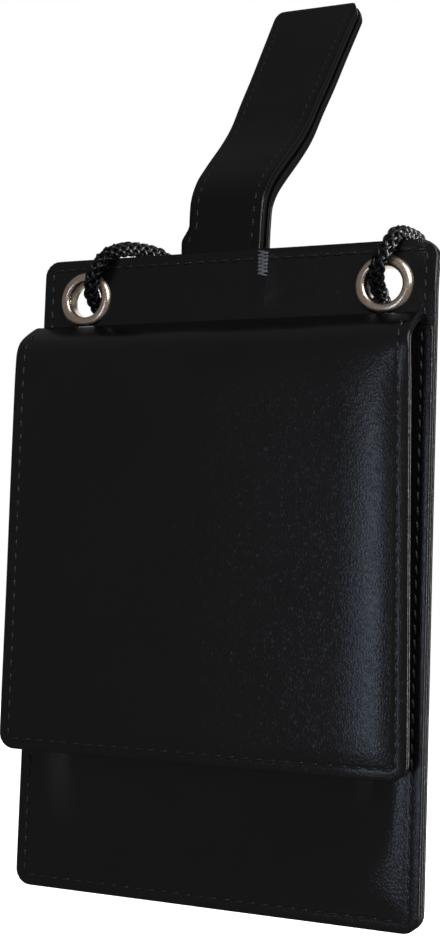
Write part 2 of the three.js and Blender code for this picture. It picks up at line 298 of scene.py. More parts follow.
# %% [markdown]
# ## The stopper knots
# Behind each eyelet the cord ends in an overhand knot that can't pull through the hole. A knot drawn tight
# is close to a trefoil, which is one short formula, so the same braid runs along it, and a stub hangs below.

# %% Stopper knots
KNOT_SCALE = 0.98 * MM
STUB = 7 * MM
KNOT_TURNS = np.linspace(0, 2 * math.pi, 90)


def knot_lines(centre, lean):
    """The knot's own loop and the short end under it."""
    ring = 2 + np.cos(3 * KNOT_TURNS)
    loop = np.column_stack([
        ring * np.cos(2 * KNOT_TURNS), 1.1 * np.sin(3 * KNOT_TURNS), ring * np.sin(2 * KNOT_TURNS)
    ])
    down = [(0, 0, 0), (0.2 * lean, 0.1, -0.5), (0.5 * lean, 0.1, -0.9), (0.6 * lean, 0.0, -1.3)]
    return [
        smooth_line(KNOT_SCALE * loop + centre, BRAID_STEP),
        smooth_line(STUB * np.array(down) + centre, BRAID_STEP),
    ]


for side, lean in (("left", 0.4), ("right", -0.5)):
    low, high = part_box(f"cord_knot_{side}")
    lines = knot_lines(np.array((low + high) / 2), lean)
    mesh = braided(f"knot_{side}", *lines)
    keep(f"knot_{side}", mesh, yarn, (f"cord_knot_{side}",))

# %% [markdown]
# ## Effects that the leathers share
# Fine grain is a field of small pebbles with creases between them. It comes from cells that noise has bent,
# and it gives a height for the bump and a slow change of tone. Every leather sheet also stores how far each
# of its points is from the sheet's border. That number draws the sewn channel, where the thread has pulled
# the leather down, and it tells the smooth rim from the cut side.

# %% Grain
grain, given, result = effect("fine_grain", [
    ("Scale", "INPUT", "NodeSocketFloat", 1000.0),
    ("Height", "OUTPUT", "NodeSocketFloat", None),
    ("Tone", "OUTPUT", "NodeSocketFloat", None),
])
coords = add(grain, "ShaderNodeTexCoord").outputs["Object"]
bend = add(grain, "ShaderNodeTexNoise", {"Vector": coords, "Scale": 380, "Detail": 2}).outputs["Color"]
bend = add(grain, "ShaderNodeVectorMath", {0: bend, 1: (0.0012,) * 3}, operation="MULTIPLY").outputs[0]
bent = add(grain, "ShaderNodeVectorMath", {0: coords, 1: bend}, operation="ADD").outputs[0]
bent = add(grain, "ShaderNodeVectorMath", {0: bent, 1: (1, 1, 0.65)}, operation="MULTIPLY").outputs[0]
pebble = add(
    grain, "ShaderNodeTexVoronoi", {"Vector": bent, "Scale": given.outputs["Scale"], "Smoothness": 0.5},
    feature="SMOOTH_F1",
)
crease = add(
    grain, "ShaderNodeTexVoronoi", {"Vector": bent, "Scale": given.outputs["Scale"]},
    feature="DISTANCE_TO_EDGE",
)
crease = add(
    grain, "ShaderNodeMapRange", {"Value": crease.outputs["Distance"], "From Max": 0.22},
    interpolation_type="SMOOTHSTEP",
)
dome = add(grain, "ShaderNodeMath", {0: 1.0, 1: pebble.outputs["Distance"]}, operation="SUBTRACT").outputs[0]
height = add(grain, "ShaderNodeMath", {0: dome, 1: crease.outputs["Result"]}, operation="MULTIPLY").outputs[0]
drift = add(grain, "ShaderNodeTexNoise", {"Vector": coords, "Scale": 55, "Detail": 4}).outputs["Fac"]
grain.links.new(height, result.inputs["Height"])
grain.links.new(drift, result.inputs["Tone"])
print("effect:", grain.name)

# %% Sewn channel, rim and cut side
seam, given, result = effect("seam_and_edge", [
    ("Row", "INPUT", "NodeSocketFloat", 0.0026),
    ("Width", "INPUT", "NodeSocketFloat", 0.0009),
    ("Edge", "OUTPUT", "NodeSocketFloat", None),
    ("Cut", "OUTPUT", "NodeSocketFloat", None),
    ("Channel", "OUTPUT", "NodeSocketFloat", None),
])
border = add(seam, "ShaderNodeAttribute", attribute_name="border").outputs["Fac"]
edge = add(
    seam, "ShaderNodeMapRange", {"Value": border, "From Max": 0.0011, "To Min": 1.0, "To Max": 0.0},
    interpolation_type="SMOOTHSTEP",
)
cut = add(seam, "ShaderNodeMapRange", {"Value": border, "From Max": 0.0002, "To Min": 1.0, "To Max": 0.0})
off = add(seam, "ShaderNodeMath", {0: border, 1: given.outputs["Row"]}, operation="SUBTRACT").outputs[0]
off = add(seam, "ShaderNodeMath", {0: off}, operation="ABSOLUTE").outputs[0]
channel = add(
    seam, "ShaderNodeMapRange",
    {"Value": off, "From Max": given.outputs["Width"], "To Min": 1.0, "To Max": 0.0},
    interpolation_type="SMOOTHSTEP",
)
seam.links.new(edge.outputs["Result"], result.inputs["Edge"])
seam.links.new(cut.outputs["Result"], result.inputs["Cut"])
seam.links.new(channel.outputs["Result"], result.inputs["Channel"])
print("effect:", seam.name)

# %% [markdown]
# ## The leathers
# Black leather is nearly all gloss: its own colour is very dark, and what shows is soft light caught by the
# grain. So the colour only drifts a little, while the grain breaks up the roughness and the surface. The
# cut side is inked a dull black, and its smooth rounded rim draws a thin bright line along it.

# %% Leather materials
def leather(name, dark, pale, edge_tone, rough, grain_scale, row, shine):
    """A black leather between two tones, with grain, sewn channel and inked edge."""
    material, tree, shader = finish_material(name)
    pebbles = place(tree, grain, Scale=grain_scale).outputs
    sewn = place(tree, seam, Row=row).outputs
    tone = add(tree, "ShaderNodeMix", {"Factor": pebbles["Tone"], "A": dark, "B": pale}, data_type="RGBA")
    worn = add(
        tree, "ShaderNodeMix",
        {"Factor": sewn["Edge"], "A": tone.outputs["Result"], "B": edge_tone}, data_type="RGBA",
    )
    dull = add(
        tree, "ShaderNodeMapRange",
        {"Value": pebbles["Height"], "To Min": rough + 0.04, "To Max": rough},
    )
    even = add(tree, "ShaderNodeMix", {"Factor": sewn["Edge"], "A": dull.outputs["Result"], "B": 0.2})
    sunk = add(
        tree, "ShaderNodeMath", {0: sewn["Channel"], 1: -2.4, 2: pebbles["Height"]}, operation="MULTIPLY_ADD"
    ).outputs[0]
    bump = add(tree, "ShaderNodeBump", {"Height": sunk, "Strength": 0.25, "Distance": 0.00008})
    tree.links.new(worn.outputs["Result"], shader.inputs["Base Color"])
    tree.links.new(even.outputs["Result"], shader.inputs["Roughness"])
    tree.links.new(bump.outputs["Normal"], shader.inputs["Normal"])
    sheen = add(tree, "ShaderNodeMix", {"Factor": sewn["Cut"], "A": shine, "B": 0.1})
    tree.links.new(sheen.outputs["Result"], shader.inputs["Specular IOR Level"])
    print("made", name)
    return material


ROW_INSET, STRAP_ROW = 2.6 * MM, 2.2 * MM
black_leather = leather(
    "black_leather", (0.0028, 0.0026, 0.003, 1), (0.006, 0.0055, 0.006, 1), (0.003, 0.003, 0.0033, 1),
    rough=0.19, grain_scale=1650, row=ROW_INSET, shine=0.5,
)
strap_leather = leather(
    "strap_leather", (0.004, 0.0034, 0.0034, 1), (0.009, 0.0075, 0.0072, 1), (0.003, 0.0028, 0.0028, 1),
    rough=0.36, grain_scale=1500, row=STRAP_ROW, shine=0.22,
)

# %% [markdown]
# ## A leather sheet
# Every ply starts as a flat grid. Its corners are rounded by pressing the corner squares into quarter discs,
# its points are laid on a surface, and the whole sheet is extruded to its thickness. The rim edges are then
# bevelled, because a cut leather edge is never sharp. Holes are opened while the sheet is one face thick.

# %% Sheet maker
CELL = 1.6 * MM
RIM_ROUND = 0.35 * MM


def ramp(t):
    t = min(max(t, 0.0), 1.0)
    return t * t * (3 - 2 * t)


def pressed_corner(offset_u, offset_v, radius):
    """Moves a point of a corner square, counted from its inner corner, onto the quarter disc."""
    u, v = offset_u / radius, offset_v / radius
    return radius * u * math.sqrt(1 - v * v / 2), radius * v * math.sqrt(1 - u * u / 2)


def round_off(u, v, span_u, span_v, radius, both_ends):
    """Rounds the corners at the low end of v, and at its high end too if asked."""
    inner_u = u - min(max(u, span_u[0] + radius), span_u[1] - radius)
    inner_v = v - min(max(v, span_v[0] + radius), span_v[1] - radius)
    if inner_u and inner_v and (both_ends or inner_v < 0):
        new_u, new_v = pressed_corner(inner_u, inner_v, radius)
        return u - inner_u + new_u, v - inner_v + new_v
    return u, v


def open_hole(bm, x, z, radius, places):
    """Cuts a round hole in a flat sheet that lies in XZ."""
    outer = {e for e in bm.edges if e.is_boundary}
    middles = [(f, f.calc_center_median()) for f in bm.faces]
    inside = [f for f, at in middles if math.hypot(at.x - x, at.z - z) < radius + CELL]
    bmesh.ops.delete(bm, geom=inside, context="FACES")
    jagged = [e for e in bm.edges if e.is_boundary and e not in outer]
    turned = Matrix.Translation((x, jagged[0].verts[0].co.y, z)) @ Matrix.Rotation(math.pi / 2, 4, "X")
    ring = bmesh.ops.create_circle(bm, segments=len(jagged), radius=radius, matrix=turned)["verts"]
    for vert in ring:
        vert[places[0]], vert[places[1]] = vert.co.x, vert.co.z
    bmesh.ops.bridge_loops(bm, edges=jagged + list({e for v in ring for e in v.link_edges}))


def sheet(span_u, span_v, surface, thick, corner=0.0, both_ends=False, gap=None, holes=(), step=CELL):
    """A thick leather sheet: a grid over two spans, laid on surface(u, v, depth) at both of its faces."""
    bm = bmesh.new()
    border = bm.verts.layers.float.new("border")
    places = bm.verts.layers.float.new("u"), bm.verts.layers.float.new("v")
    size_u, size_v = span_u[1] - span_u[0], span_v[1] - span_v[0]
    bmesh.ops.create_grid(bm, x_segments=round(size_u / CELL), y_segments=round(size_v / step), size=0.5)
    for vert in bm.verts:
        u, v = span_u[0] + (vert.co.x + 0.5) * size_u, span_v[0] + (vert.co.y + 0.5) * size_v
        vert[border] = gap(u, v)
        if corner:
            u, v = round_off(u, v, span_u, span_v, corner, both_ends)
        vert[places[0]], vert[places[1]] = u, v
        vert.co = surface(u, v)
    for x, z in holes:
        open_hole(bm, x, z, HOLE_R, places)
    bmesh.ops.recalc_face_normals(bm, faces=bm.faces[:])
    made = bmesh.ops.extrude_face_region(bm, geom=bm.faces[:], use_keep_orig=True)["geom"]
    for vert in (g for g in made if isinstance(g, bmesh.types.BMVert)):
        vert.co = surface(vert[places[0]], vert[places[1]], thick)
    bmesh.ops.recalc_face_normals(bm, faces=bm.faces[:])
    rim = [e for e in bm.edges if e.is_manifold and e.calc_face_angle(0) > 1.0]
    bmesh.ops.bevel(
        bm, geom=rim, offset=RIM_ROUND, offset_type="OFFSET", segments=3, profile=0.5, affect="EDGES",
        material=-1, clamp_overlap=True,
    )
    open_edges = sum(not e.is_manifold for e in bm.edges)
    mesh = bpy.data.meshes.new("sheet")
    bm.to_mesh(mesh)
    bm.free()
    print("sheet with", open_edges, "open edges")
    return mesh


# %% [markdown]
# ## The back panel
# The panel is two plies sewn back to back, and their rounded edges leave a fine line along the panel's side.
# The edge ink adds a little to the solid's outline.
# Leather is never dead flat, so slow noise moves it by about a tenth of a millimetre. The near top corner has
# taken a backward curl, and the strap's hidden end raises a faint ridge under the tack.

# %% Back panel
panel_low, panel_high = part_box("back_panel")
EDGE_COAT, FOOT_COAT, HEAD_COAT = 0.75 * MM, 0.9 * MM, 0.5 * MM
PANEL_X = (panel_low.x - EDGE_COAT, panel_high.x + EDGE_COAT)
PANEL_Z = (panel_low.z - FOOT_COAT, panel_high.z + HEAD_COAT)
PANEL_FRONT, PANEL_BACK = panel_low.y, panel_high.y
PLY = (PANEL_BACK - PANEL_FRONT) / 2
PANEL_CORNER = 4 * MM
eyelet_low, eyelet_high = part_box("eyelet_right")
EYELET_X = (eyelet_low.x + eyelet_high.x) / 2
EYELETS = [(-EYELET_X, 0.0), (EYELET_X, 0.0)]
HOLE_R = 5.6 * MM
STRAP_X = -2.06 * MM
STRAP_ROOT_HALF = 9.7 * MM
TACK_AT = 9.2 * MM


def ripple(x, z, size):
    return size * noise.noise(Vector((26 * x, 4.3, 19 * z)))


def pillow(gap, start):
    """How far the leather swells between seams: nothing up to the start, most a little inside it."""
    return 0.4 * MM * (1 - math.exp(-max(gap - start, 0) / (1.9 * MM)))


def panel_bend(x, z):
    """How far the panel leaves its plane, backwards."""
    curl = 1.6 * MM * ramp((x - 45 * MM) / (8 * MM)) * ramp((z + 2 * MM) / (12 * MM))
    return curl + ripple(x, z, 0.12 * MM)


def tack_ridge(x, z):
    """The strap's sewn-in corner shows as a short soft ridge under the tack."""
    across = (x - TACK_AT) / (2.2 * MM)
    return 0.35 * MM * math.exp(-across * across) * ramp((z + 6 * MM) / (6 * MM))


def panel_front(x, z, depth=0.0):
    ridge = tack_ridge(x, z) if depth == 0 else 0
    return Vector((x, PANEL_FRONT + panel_bend(x, z) - ridge + depth, z))


def panel_back(x, z, depth=0.0):
    return Vector((x, PANEL_BACK + panel_bend(x, z) - depth, z))


def panel_gap(x, z):
    return min(PANEL_X[1] - abs(x), z - PANEL_Z[0], PANEL_Z[1] - z)


panel_ply = dict(thick=PLY - 0.02 * MM, corner=PANEL_CORNER, both_ends=True, gap=panel_gap, holes=EYELETS)
keep(
    "panel_front", sheet(PANEL_X, PANEL_Z, panel_front, **panel_ply),
    black_leather, ("back_panel",),
)
keep("panel_back", sheet(PANEL_X, PANEL_Z, panel_back, **panel_ply), black_leather)

# %% [markdown]
# ## The pocket
# The pocket front is sewn down along its sides and bottom and stands forward in between, as a pocket does
# that has held passes for a while. Its rise follows the solid's: up over a flank at each side, gentler at the
# left, and a long slope at the bottom. Its mouth is cut lower between the sewn sides.

# %% Pocket
pocket_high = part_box("front_pocket")[1]
POCKET_SEAT = -0.12 * MM
POCKET_T = 1.8 * MM
POCKET_SEAM, POCKET_FLANK_LEFT, POCKET_FLANK_RIGHT = 6.5 * MM, 13 * MM, 9 * MM
POCKET_ROLL = 4.4 * MM
POCKET_MOUTH, POCKET_MOUTH_HALF = -17 * MM, 46.5 * MM
POCKET_FLANK_TOP = -111 * MM
POCKET_RISE_TOP, POCKET_RISE_LOW = 8.0 * MM, 6.9 * MM


def pocket_rise(x, z):
    """How far the pocket's front stands forward of its sewn margin."""
    low = PANEL_Z[0] + POCKET_SEAM
    flank = POCKET_FLANK_LEFT if x < 0 else POCKET_FLANK_RIGHT
    side = ramp((PANEL_X[1] - POCKET_SEAM - abs(x)) / flank)
    foot = ramp((z - low) / (POCKET_FLANK_TOP - low))
    down = min(max((POCKET_MOUTH - z) / (POCKET_MOUTH - POCKET_FLANK_TOP), 0), 1)
    return side * foot * (POCKET_RISE_TOP + (POCKET_RISE_LOW - POCKET_RISE_TOP) * down)


def pocket_front(x, v, depth=0.0):
    """v runs from the bottom edge to the top of the sewn sides, and the mouth is drawn down between them."""
    drop = (pocket_high.z - POCKET_MOUTH) * ramp((POCKET_MOUTH_HALF + 1 * MM - abs(x)) / (2 * MM))
    share = (v - PANEL_Z[0]) / (pocket_high.z - PANEL_Z[0])
    z = v - drop * share**6
    swell = pocket_rise(x, z) + pillow(pocket_gap(x, z), POCKET_ROLL)
    y = POCKET_SEAT - POCKET_T - swell + ripple(x, z, 0.15 * MM)
    return Vector((x, y + depth, z))


def pocket_gap(x, z):
    return min(PANEL_X[1] - abs(x), z - PANEL_Z[0])


keep(
    "pocket_front",
    sheet(PANEL_X, (PANEL_Z[0], pocket_high.z), pocket_front, POCKET_T, corner=PANEL_CORNER, gap=pocket_gap),
    black_leather, ("front_pocket",),
)

# %% [markdown]
# ## The flap
# The flap is hinged on the panel under the eyelets, slopes forward over the pocket's mouth and hangs down in
# front of it. A side view of its outer face, followed by length, carries the sheet. Near its right side the
# leather droops back a little, which is where it catches the light. It is a cover with a thinner lining.

# %% Flap
flap_low, flap_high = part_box("flap")
FLAP_X = (flap_low.x, flap_high.x)
FLAP_MIDDLE = (flap_low.x + flap_high.x) / 2
FLAP_CORNER = 4 * MM
FLAP_COVER, FLAP_LINING = 1.35 * MM, 1.0 * MM
FLAP_DROOP, FLAP_DROOP_FROM = 1.7 * MM, 35.2 * MM
FLAP_NARROW, FLAP_FLARE = -0.2 * MM, 1.0 * MM
FLAP_LEAN_TOP, FLAP_LEAN_LOW = -1.0 * MM, -0.5 * MM
FLAP_SIDE_VIEW = [
    (-0.0003, -0.0080), (-0.0017, -0.0073), (-0.0036, -0.0076), (-0.0062, -0.0090), (-0.0090, -0.0107),
    (-0.0114, -0.0127), (-0.0126, -0.0152), (-0.0129, -0.0185), (-0.0128, -0.0400), (-0.0122, -0.0800),
    (-0.0117, flap_low.z),
]
LINE_STEP = 0.5 * MM
flap_line = smooth_line(FLAP_SIDE_VIEW, LINE_STEP)
FLAP_LENGTH = length_of(flap_line)


def on_line(line, share):
    """The point of a side-view line at a share of its length, and the direction there."""
    at = min(max(share, 0), 1) * (len(line) - 1)
    i = min(int(at), len(line) - 2)
    a, b = line[i], line[i + 1]
    return a + (at - i) * (b - a), (b - a) / np.linalg.norm(b - a)


def flap_at(base):
    """The flap's outer face, or a face that lies deeper in it."""
    def surface(x, v, depth=0.0):
        (y, z), (ty, tz) = on_line(flap_line, -v / FLAP_LENGTH)
        droop = FLAP_DROOP * max(x - FLAP_DROOP_FROM, 0) ** 2 / (FLAP_X[1] - FLAP_DROOP_FROM) ** 2
        hang = ramp((-v - 8 * MM) / (20 * MM))
        y += (droop - pillow(flap_gap(x, v), ROW_INSET) + ripple(x, z, 0.2 * MM)) * hang
        depth += base
        down = -v / FLAP_LENGTH
        spread = FLAP_NARROW + (FLAP_FLARE - FLAP_NARROW) * down
        lean = FLAP_LEAN_TOP + (FLAP_LEAN_LOW - FLAP_LEAN_TOP) * down
        x += spread * (x - FLAP_MIDDLE) / (FLAP_X[1] - FLAP_MIDDLE) + lean
        return Vector((x, y - depth * tz, z + depth * ty))
    return surface


def flap_gap(x, v):
    return min(FLAP_X[1] - x, x - FLAP_X[0], v + FLAP_LENGTH)


flap_ply = dict(corner=FLAP_CORNER, gap=flap_gap)
flap = keep(
    "flap_cover", sheet(FLAP_X, (-FLAP_LENGTH, 0), flap_at(0), FLAP_COVER, **flap_ply),
    black_leather, ("flap",),
)
keep(
    "flap_lining", sheet(FLAP_X, (-FLAP_LENGTH, 0), flap_at(FLAP_COVER + 0.02 * MM), FLAP_LINING, **flap_ply),
    black_leather,
)
print(f"flap {FLAP_LENGTH:.4f} m long")

# %% [markdown]
# ## The strap
# The strap is one strip, doubled: up the front ply, round a tight fold at the top, and down the back ply to a
# tail that is sewn to the panel's back and stands off enough for the cord. Its middle line is drawn in side
# view, and the strip's width follows it: narrow at the root, wider at the fold, with trimmed corners there.

# %% Strap line
STRAP_T = 2.6 * MM
STRAP_END_HALF = 12.8 * MM
STRAP_GAP_ROOT, STRAP_GAP = 2.2 * MM, 1.2 * MM
STRAP_FLARE, STRAP_FLARE_FROM, STRAP_FLARE_TO = 2.1 * MM, 7.5 * MM, 3 * MM
STRAP_SUNK = 3 * MM
FOLD_CORNER_WIDE, FOLD_CORNER_RUN = 4 * MM, 5 * MM
STRAP_FACE = [
    (0.0003, 0.0003), (0.0004, 0.0080), (0.0013, 0.0145), (0.0046, 0.0200), (0.0108, 0.0260),
    (0.0210, 0.0350), (0.0274, 0.0415), (0.0338, 0.0500), (0.0416, 0.0600), (0.0490, 0.0700),
    (0.0610, 0.0860),
]
STRAP_TAIL = [
    (0.0069, 0.0055), (0.0079, 0.0), (0.0079, -0.0050), (0.0067, -0.0095), (0.0051, -0.0135),
    (0.0046, -0.0175), (0.0046, -0.0240),
]
face = smooth_line([(y, panel_high.z + rise) for y, rise in STRAP_FACE], 2 * MM)
ahead = np.gradient(face, axis=0)
ahead /= np.linalg.norm(ahead, axis=1)[:, None]
inward = np.column_stack([ahead[:, 1], -ahead[:, 0]])
share = np.linspace(0, 1, len(face))[:, None]
opening = STRAP_GAP_ROOT + (STRAP_GAP - STRAP_GAP_ROOT) * np.clip(share / 0.25, 0, 1)
front_run = face + inward * STRAP_T / 2
back_run = face + inward * (1.5 * STRAP_T + opening)
fold_r = (STRAP_T + STRAP_GAP) / 2
fold_at = face[-1] + inward[-1] * (STRAP_T + STRAP_GAP / 2)
fold_turn = np.radians([30, 60, 90, 120, 150])[:, None]
fold_run = fold_at - inward[-1] * fold_r * np.cos(fold_turn) + ahead[-1] * fold_r * np.sin(fold_turn)
sunk = front_run[0] - (0, STRAP_SUNK)
strap_line = smooth_line(np.vstack([sunk, front_run, fold_run, back_run[::-1], STRAP_TAIL]), LINE_STEP)
STRAP_LENGTH = length_of(strap_line)
ROOT_RUN = STRAP_SUNK
FOLD_RUN = np.argmax(strap_line[:, 1]) * LINE_STEP
print(f"strap strip {STRAP_LENGTH:.3f} m, fold at {FOLD_RUN:.3f} m")


# %% Strap
def strap_sides(run):
    """The strip's left and right side at a run along it, from its middle."""
    up = 1 - abs(run - FOLD_RUN) / (FOLD_RUN - ROOT_RUN)
    half = STRAP_ROOT_HALF + (STRAP_END_HALF - STRAP_ROOT_HALF) * min(max(up, 0), 1)
    near_fold = max(1 - abs(run - FOLD_RUN) / FOLD_CORNER_RUN, 0)
    half -= FOLD_CORNER_WIDE * (1 - math.sqrt(1 - near_fold**2))
    flare_end = ROOT_RUN + STRAP_FLARE_FROM
    flare = STRAP_FLARE * ramp((flare_end - run) / (STRAP_FLARE_FROM - STRAP_FLARE_TO))
    return -half - flare, half


def strap_at(lift):
    """The strip's face at a distance out from its middle: u runs from -0.5 to 0.5 across it."""
    def surface(u, run, depth=0.0):
        (y, z), (ty, tz) = on_line(strap_line, run / STRAP_LENGTH)
        left, right = strap_sides(run)
        x = STRAP_X + (left + right) / 2 + u / WIDE * (right - left)
        lift_here = lift - depth + ripple(x, z + 3 * y, 0.12 * MM)
        return Vector((x, y - lift_here * tz, z + lift_here * ty))
    return surface


WIDE = 2 * STRAP_END_HALF
ACROSS = (-WIDE / 2, WIDE / 2)


def strap_gap(u, run):
    left, right = strap_sides(run)
    return (0.5 - abs(u) / WIDE) * (right - left)


strap_ply = dict(thick=STRAP_T / 2 - 0.02 * MM, gap=strap_gap, step=0.7 * MM)
keep(
    "strap_outer", sheet(ACROSS, (0, STRAP_LENGTH), strap_at(STRAP_T / 2), **strap_ply),
    strap_leather, ("strap",),
)
keep(
    "strap_lining", sheet(ACROSS, (0, STRAP_LENGTH), strap_at(0), **strap_ply),
    strap_leather,
)

# %% [markdown]
# ## The eyelets
# An eyelet is a turned shape: a domed flange in front, a barrel through the leather and a rim rolled over
# behind. Its section is a short run of points, and a full spin about the hole's axis makes the ring. The
# rings are kept out of mirror images, where they would show as brown spots on the flap's crest.

# %% Nickel
nickel, tree, shader = finish_material("warm_nickel")
coords = add(tree, "ShaderNodeTexCoord").outputs["Object"]
scuff = add(tree, "ShaderNodeTexNoise", {"Vector": coords, "Scale": 900, "Detail": 5}).outputs["Fac"]
cloud = add(tree, "ShaderNodeTexNoise", {"Vector": coords, "Scale": 210, "Detail": 3}).outputs["Fac"]
rough = add(
    tree, "ShaderNodeMapRange",
    {"Value": scuff, "From Min": 0.3, "From Max": 0.7, "To Min": 0.18, "To Max": 0.34},
)
plate = add(
    tree, "ShaderNodeMix",
    {"Factor": cloud, "A": (0.92, 0.79, 0.65, 1), "B": (0.72, 0.56, 0.43, 1)}, data_type="RGBA",
)
bump = add(tree, "ShaderNodeBump", {"Height": scuff, "Strength": 0.08, "Distance": 0.0001})
tree.links.new(plate.outputs["Result"], shader.inputs["Base Color"])
tree.links.new(rough.outputs["Result"], shader.inputs["Roughness"])
tree.links.new(bump.outputs["Normal"], shader.inputs["Normal"])
shader.inputs["Metallic"].default_value = 1.0
print("made", nickel.name)

# %% Eyelets
EYELET_SECTION = [
    (5.2, 0.05), (7.3, 0.0), (7.3, -0.25), (7.12, -0.62), (6.72, -0.94), (6.2, -1.16), (5.65, -1.24),
    (5.15, -1.12), (4.8, -0.82), (4.58, -0.4), (4.5, 0.2), (4.5, 3.2), (4.62, 3.55), (4.95, 3.85),
    (5.4, 3.95), (5.85, 3.8), (6.15, 3.45), (6.2, 3.05), (5.2, 3.0),
]


def ring(x):
    """Spins the eyelet's section, in millimetres of radius and depth, about the hole's axis."""
    bm = bmesh.new()
    section = [bm.verts.new((x + r * MM, y * MM, 0)) for r, y in EYELET_SECTION]
    edges = [bm.edges.new(pair) for pair in zip(section, section[1:] + section[:1])]
    bmesh.ops.spin(
        bm, geom=section + edges, cent=(x, 0, 0), axis=(0, 1, 0), angle=2 * math.pi, steps=72, use_merge=True
    )
    bmesh.ops.remove_doubles(bm, verts=bm.verts[:], dist=1e-6)
    bmesh.ops.recalc_face_normals(bm, faces=bm.faces[:])
    mesh = bpy.data.meshes.new("ring")
    bm.to_mesh(mesh)
    bm.free()
    return mesh


for side, (x, z) in zip(("left", "right"), EYELETS):
    eyelet = keep(f"ring_{side}", ring(x), nickel, (f"eyelet_{side}",))
    eyelet.visible_glossy = False

# %% [markdown]
# ## Thread
# The seams are lockstitched with black thread. Each stitch is a small stretched ball that lies along the row
# and sinks at both ends. Rows are drawn on the same surfaces as the sheets, so they follow every bend, and
# each stitch is turned a little, as a machine leaves it.

# %% Thread material
thread, tree, shader = finish_material("black_thread")
coords = add(tree, "ShaderNodeTexCoord").outputs["Object"]
ply_lines = add(
    tree, "ShaderNodeTexWave", {"Vector": coords, "Scale": 900, "Distortion": 2},
    bands_direction="DIAGONAL",
)
patch = add(tree, "ShaderNodeTexNoise", {"Vector": coords, "Scale": 160}).outputs["Fac"]
tone = add(
    tree, "ShaderNodeMix",
    {"Factor": patch, "A": (0.004, 0.004, 0.004, 1), "B": (0.011, 0.011, 0.012, 1)}, data_type="RGBA",
)
bump = add(tree, "ShaderNodeBump", {"Height": ply_lines.outputs["Fac"], "Strength": 0.4, "Distance": 0.0001})
tree.links.new(tone.outputs["Result"], shader.inputs["Base Color"])
tree.links.new(bump.outputs["Normal"], shader.inputs["Normal"])
shader.inputs["Roughness"].default_value = 0.42
print("made", thread.name)

# %% Stitch helper
STITCH_PITCH = 3.4 * MM
STITCH_LENGTH = 2.7 * MM
THREAD_D = 0.75 * MM
SLANT = math.radians(7)


def stitch(bm, middle, along, out, length, width):
    """One stitch: a ball stretched along the row, pressed half into the leather."""
    across = along.cross(out)
    size = Matrix.Diagonal((length / 2, width / 2, width / 2, 1))
    turn = Matrix((along, across, out)).transposed().to_4x4()
    bmesh.ops.create_uvsphere(
        bm, u_segments=8, v_segments=6, radius=1, matrix=Matrix.Translation(middle) @ turn @ size
    )


def sew(name, runs, length=STITCH_LENGTH, width=THREAD_D, proud=-0.04 * MM):
    """Stitches along runs. A run is a surface, the way out of it (1 or -1), and its start and end points."""
    bm = bmesh.new()
    nudge = 0.2 * MM
    for surface, way, start, end in runs:
        span = (Vector(end) - Vector(start)).length
        count = max(round(span / STITCH_PITCH), 1)
        for i in range(count):
            u, v = Vector(start).lerp(Vector(end), (i + 0.5) / count)
            here = surface(u, v)
            du, dv = surface(u + nudge, v) - here, surface(u, v + nudge) - here
            out = way * du.cross(dv).normalized()
            step = (Vector(end) - Vector(start)).normalized()
            along = (step.x * du + step.y * dv).normalized()
            along.rotate(Matrix.Rotation(SLANT + random.uniform(-0.04, 0.04), 3, out))
            stitch(bm, here + proud * out, along, out, length * random.uniform(0.94, 1.04), width)
    mesh = bpy.data.meshes.new(name)
    bm.to_mesh(mesh)
    bm.free()
    return keep(name, mesh, thread)


# %% Seams of the panel and pocket
side_x = PANEL_X[1] - ROW_INSET
foot_z = PANEL_Z[0] + ROW_INSET
head_z = PANEL_Z[1] - ROW_INSET
SEWN_TOP = pocket_high.z - 1 * MM

sew("stitch_pocket", [
    (pocket_front, 1, (-side_x, SEWN_TOP), (-side_x, foot_z)),
    (pocket_front, 1, (-side_x, foot_z), (side_x, foot_z)),
    (pocket_front, 1, (side_x, foot_z), (side_x, SEWN_TOP)),
])
sew("stitch_panel", [
    (panel_front, 1, (-side_x, head_z), (-side_x, pocket_high.z + 2 * MM)),
    (panel_front, 1, (-side_x, head_z), (side_x, head_z)),
    (panel_front, 1, (side_x, pocket_high.z + 2 * MM), (side_x, head_z)),
])
sew("stitch_back", [
    (panel_back, -1, (-side_x, head_z), (-side_x, foot_z)),
    (panel_back, -1, (-side_x, foot_z), (side_x, foot_z)),
    (panel_back, -1, (side_x, foot_z), (side_x, head_z)),
    (panel_back, -1, (side_x, head_z), (STRAP_X + STRAP_ROOT_HALF + 1 * MM, head_z)),
    (panel_back, -1, (STRAP_X - STRAP_ROOT_HALF - 1 * MM, head_z), (-side_x, head_z)),
])

# %% Seams of the flap
cover = flap_at(0)
flap_left, flap_right = FLAP_X[0] + ROW_INSET, FLAP_X[1] - ROW_INSET
flap_foot = -FLAP_LENGTH + ROW_INSET
flap_head = -9 * MM
sew("stitch_flap", [
    (cover, 1, (flap_left, flap_head), (flap_left, flap_foot)),
    (cover, 1, (flap_left, flap_foot), (flap_right, flap_foot)),
    (cover, 1, (flap_right, flap_foot), (flap_right, flap_head)),
])

# %% Seams of the strap
outer = strap_at(STRAP_T / 2)


def strap_row(side, start, end, count):
    """Short runs that keep a row at one distance from the strip's side while its width changes."""
    points = []
    for run in np.linspace(start, end, count + 1):
        left, right = strap_sides(run)
        points.append((side * WIDE * (0.5 - STRAP_ROW / (right - left)), run))
    return [(outer, 1, a, b) for a, b in zip(points, points[1:])]


